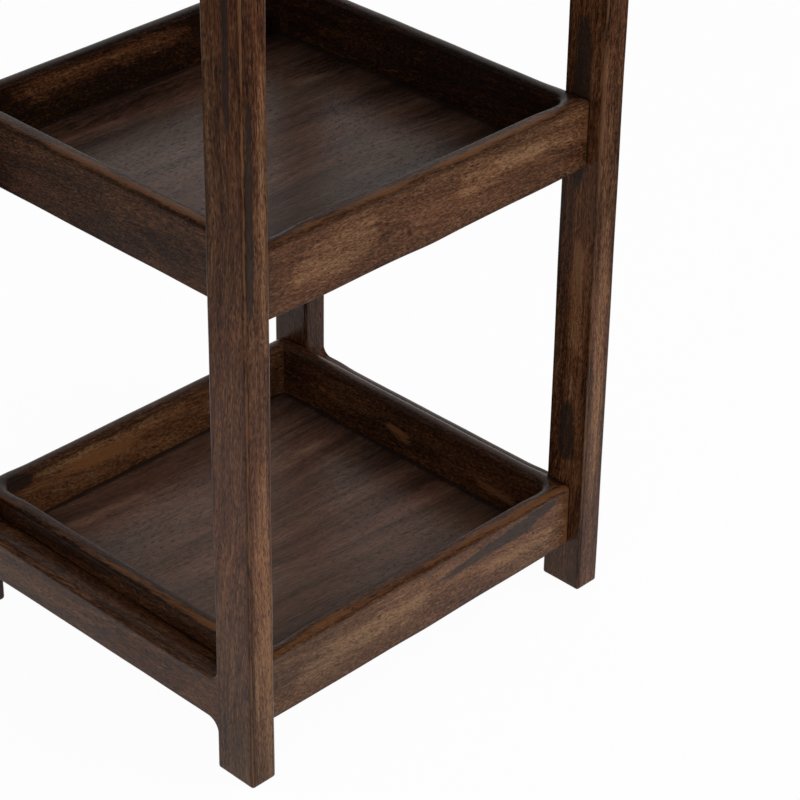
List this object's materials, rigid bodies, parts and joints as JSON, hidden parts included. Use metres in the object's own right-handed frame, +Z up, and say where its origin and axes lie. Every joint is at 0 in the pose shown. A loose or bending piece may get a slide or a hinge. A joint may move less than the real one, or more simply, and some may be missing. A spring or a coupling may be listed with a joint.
{
  "type": "tiered side table",
  "caption": "Tall open side table: shallow rounded wooden trays stacked between two side frames of legs and rails, for holding and displaying things.",
  "frame": {"origin": "on the floor under the middle of the table", "axes": "+Z up, +X to the right along the trays' front walls, front towards -Y"},
  "size_m": [0.356, 0.33, 0.723],
  "materials": {
    "frame_wood": "dark walnut stain, satin lacquer",
    "tray_wood": "dark walnut stain, satin lacquer, worn through a little on the rims",
    "floor_wood": "dark walnut stain, satin lacquer",
    "tenon_wood": "plain sawn hardwood"
  },
  "bodies": {
    "root": {"front_left_leg": "frame_wood", "front_right_leg": "frame_wood", "rear_left_leg": "frame_wood", "rear_right_leg": "frame_wood", "lower_left_rail": "frame_wood", "lower_right_rail": "frame_wood", "upper_left_rail": "frame_wood", "upper_right_rail": "frame_wood", "lower_tray_front_wall": "tray_wood", "lower_tray_right_wall": "tray_wood", "lower_tray_rear_wall": "tray_wood", "lower_tray_left_wall": "tray_wood", "lower_tray_floor": "floor_wood", "lower_tray_loose_tenons": "tenon_wood", "middle_tray_front_wall": "tray_wood", "middle_tray_right_wall": "tray_wood", "middle_tray_rear_wall": "tray_wood", "middle_tray_left_wall": "tray_wood", "middle_tray_floor": "floor_wood", "middle_tray_loose_tenons": "tenon_wood", "upper_tray_front_wall": "tray_wood", "upper_tray_right_wall": "tray_wood", "upper_tray_rear_wall": "tray_wood", "upper_tray_left_wall": "tray_wood", "upper_tray_floor": "floor_wood", "upper_tray_loose_tenons": "tenon_wood"}
  },
  "joints": []
}
